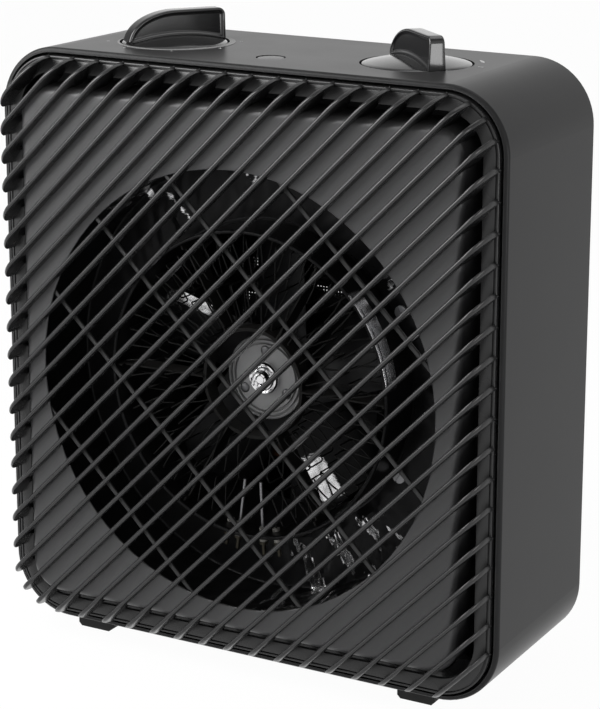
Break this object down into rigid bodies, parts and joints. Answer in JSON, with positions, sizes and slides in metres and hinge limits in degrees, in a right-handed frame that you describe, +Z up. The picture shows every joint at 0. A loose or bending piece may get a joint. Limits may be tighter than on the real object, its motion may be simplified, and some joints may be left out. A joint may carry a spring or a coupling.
{
  "type": "fan heater",
  "caption": "Compact upright electric fan heater with a diagonal-rib front grille, rotary heat and thermostat knobs on top and a wound-wire element in front of an axial fan.",
  "frame": {"origin": "middle of the outer box in X and Y, at the underside of the feet", "axes": "+Z up, -Y out of the front grille, +X to the right of someone who looks at the front"},
  "size_m": [0.233, 0.1194, 0.2685],
  "materials": {
    "case_plastic": "satin moulded",
    "grille_plastic": "satin moulded",
    "baffle_paint": "satin paint",
    "cover_plastic": "fine grain",
    "knob_plastic": "gloss",
    "bar_steel": "satin paint",
    "sheet_steel": "galvanised",
    "bright_aluminium": "bright",
    "mica": "pressed mica board",
    "nichrome": "drawn wire",
    "ceramic": "fired",
    "brass": "plain",
    "zinc_steel": "zinc plated",
    "stator_steel": "stacked sheet",
    "copper_winding": "enamelled copper",
    "diecast": "die cast",
    "bronze": "sintered bronze",
    "fan_paint": "satin paint",
    "hub_paint": "satin paint",
    "chrome": "polished",
    "black_plastic": "moulded",
    "white_plastic": "moulded",
    "lens_plastic": "smoked lens",
    "red_plastic": "moulded",
    "rubber": "moulded",
    "print_grey": "pad print"
  },
  "bodies": {
    "case": {"housing_shell": "case_plastic", "front_grille": "grille_plastic", "baffle_plate": "baffle_paint", "guard_bars": "bar_steel", "bulkhead_plate": "sheet_steel", "reflector_pan": "bright_aluminium", "heater_ring": "bright_aluminium", "mica_star": "mica", "heating_coil_outer": "nichrome", "heating_coil_inner": "nichrome", "ceramic_bushes": "ceramic", "coil_terminals": "brass", "coil_links": "zinc_steel", "thermal_cutout": "black_plastic", "thermal_fuse": "ceramic", "motor_frame": "sheet_steel", "motor_front_bracket": "diecast", "motor_rear_bracket": "diecast", "motor_stator": "stator_steel", "motor_winding": "copper_winding", "motor_bolts": "zinc_steel", "motor_nuts": "zinc_steel", "motor_bearings": "bronze", "mode_switch": "black_plastic", "thermostat_body": "ceramic", "thermostat_blade": "brass", "shaft_nuts": "zinc_steel", "switch_terminals": "brass", "lamp_lens": "lens_plastic", "lamp_holder": "white_plastic", "rear_cover": "cover_plastic", "long_screws": "zinc_steel", "sheet_screws": "zinc_steel", "cover_screws": "zinc_steel", "feet": "rubber", "cord_gland": "rubber", "gland_nut": "black_plastic", "terminal_block": "white_plastic", "terminal_screws": "brass", "tip_switch": "black_plastic", "tip_spring": "zinc_steel", "dial_ring": "print_grey"},
    "fan": {"fan_wheel": "fan_paint", "fan_hub_cap": "hub_paint", "fan_hub_rivets": "chrome", "fan_hub_nut": "chrome", "motor_shaft": "zinc_steel", "motor_rotor": "stator_steel"},
    "heat_selector": {"mode_knob": "knob_plastic", "mode_shaft": "white_plastic"},
    "thermostat": {"thermostat_knob": "knob_plastic", "thermostat_shaft": "brass"},
    "plunger": {"tip_plunger": "red_plastic"}
  },
  "joints": [
    {"name": "fan_spin", "type": "hinge", "parent": "case", "child": "fan", "pos_m": [0, 0, 0.1222], "axis": [0, -1, 0], "continuous": true},
    {"name": "heat_selector_turn", "type": "hinge", "parent": "case", "child": "heat_selector", "pos_m": [-0.057, -0.00575, 0.255], "axis": [0, 0, 1], "range_deg": [-135, 135]},
    {"name": "thermostat_turn", "type": "hinge", "parent": "case", "child": "thermostat", "pos_m": [0.057, -0.00575, 0.255], "axis": [0, 0, 1], "range_deg": [-135, 135]},
    {"name": "plunger_drop", "type": "slide", "parent": "case", "child": "plunger", "axis": [0, 0, -1], "range_m": [0, 0.0059], "stiffness_N_per_m": 60, "springref_m": 0.008, "deforming": ["tip_spring"]}
  ]
}
